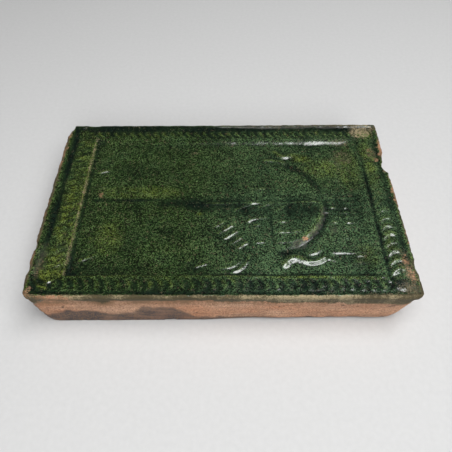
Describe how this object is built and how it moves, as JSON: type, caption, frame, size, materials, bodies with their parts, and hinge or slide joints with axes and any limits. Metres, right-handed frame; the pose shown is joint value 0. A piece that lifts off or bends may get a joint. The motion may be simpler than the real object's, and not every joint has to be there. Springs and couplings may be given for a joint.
{
  "type": "stove tile",
  "caption": "Glazed relief stove tile: a framed face plate with a vase and leaves, and a hollow open-backed collar behind it.",
  "frame": {"origin": "centre of the bounding box's underside, in the plane of the collar's rim that the tile lies on", "axes": "+X along the picture from its head to its foot, +Y across it, +Z out of the glazed face"},
  "size_m": [0.3, 0.2, 0.045],
  "materials": {
    "glazed_clay": "glossy green lead glaze on the face, bare fired red clay on edge, collar and back"
  },
  "bodies": {
    "root": {"stove_tile": "glazed_clay"}
  },
  "joints": []
}
